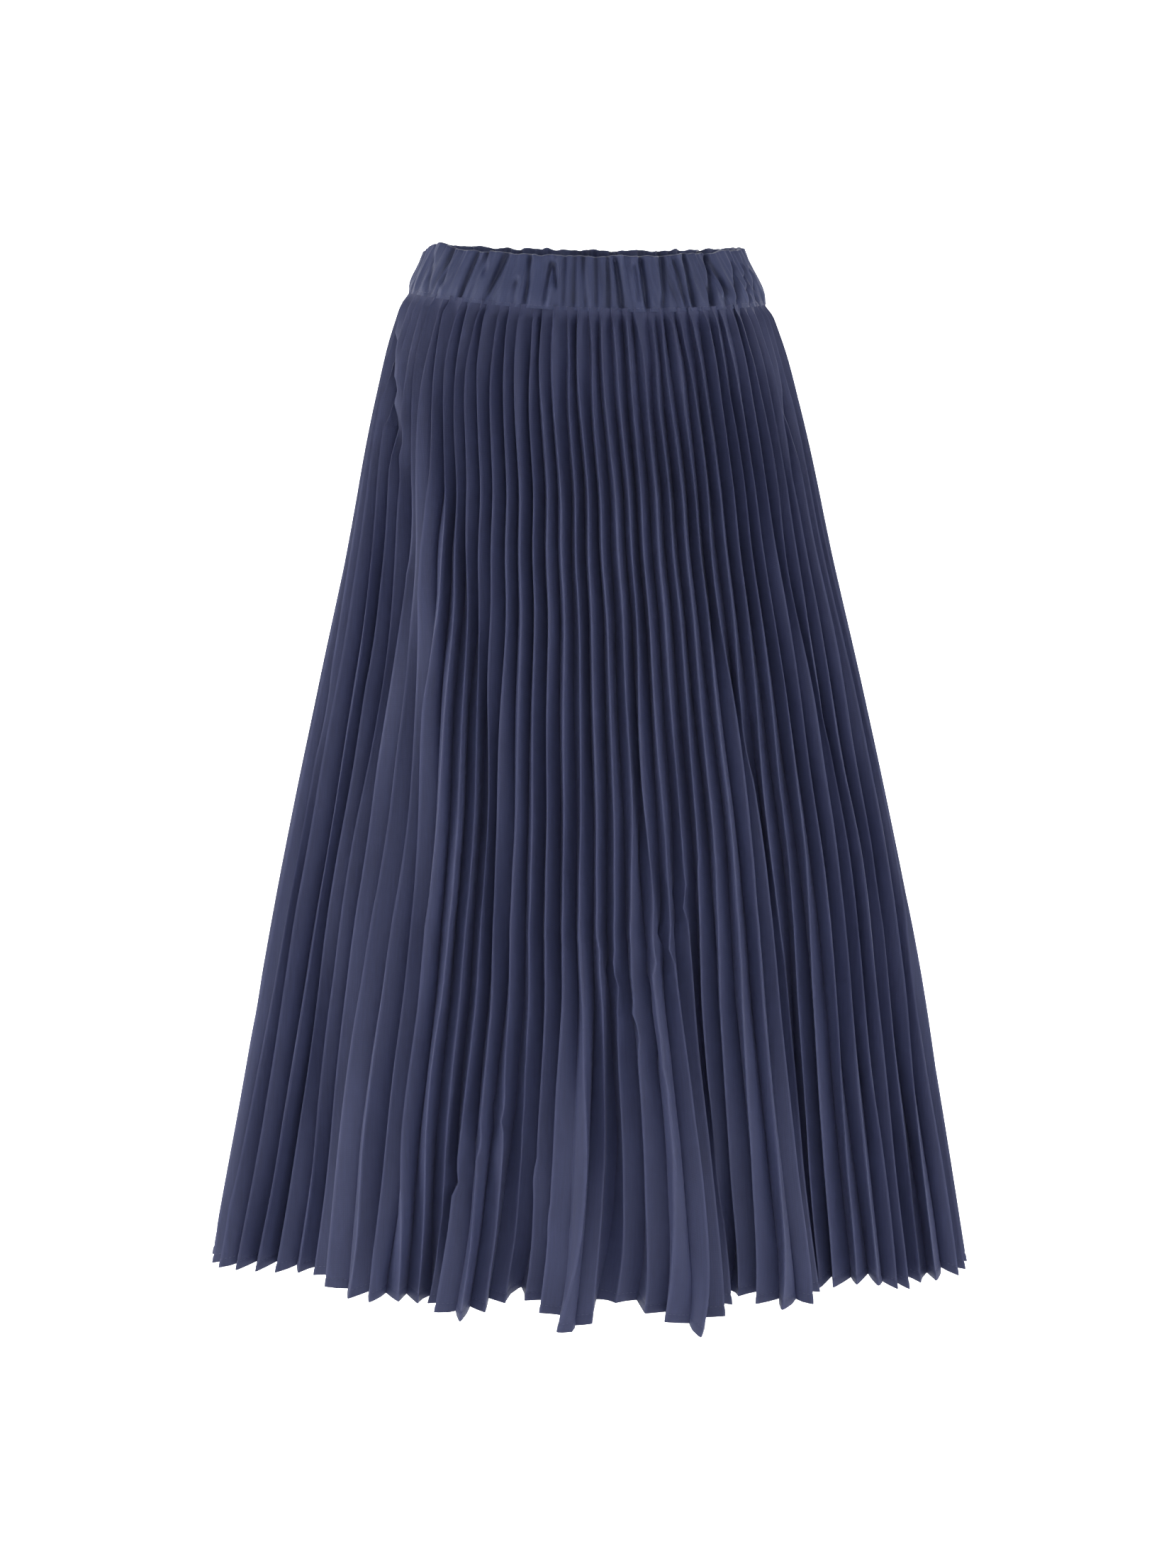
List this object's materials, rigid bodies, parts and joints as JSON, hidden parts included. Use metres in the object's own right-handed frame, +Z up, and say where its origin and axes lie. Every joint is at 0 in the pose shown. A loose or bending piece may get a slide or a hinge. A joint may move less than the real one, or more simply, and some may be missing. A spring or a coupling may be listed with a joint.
{
  "type": "pleated skirt",
  "caption": "Long flared skirt of accordion-pleated woven cloth on a gathered elastic waistband, hollow, in the form it has when worn.",
  "frame": {"origin": "middle of the waistband, on the skirt's own centre line, half-way up the band's front", "axes": "+Z up from the hem towards the waist, -Y the front, +X the side on a viewer's right"},
  "size_m": [0.6235, 0.2984, 0.8449],
  "materials": {
    "waistband_cloth": "woven polyester, gathered over elastic, dull sheen",
    "skirt_cloth": "woven polyester, heat-set accordion pleats, satin sheen"
  },
  "bodies": {
    "root": {"waistband": "waistband_cloth", "skirt_front": "skirt_cloth", "skirt_back": "skirt_cloth"}
  },
  "joints": []
}
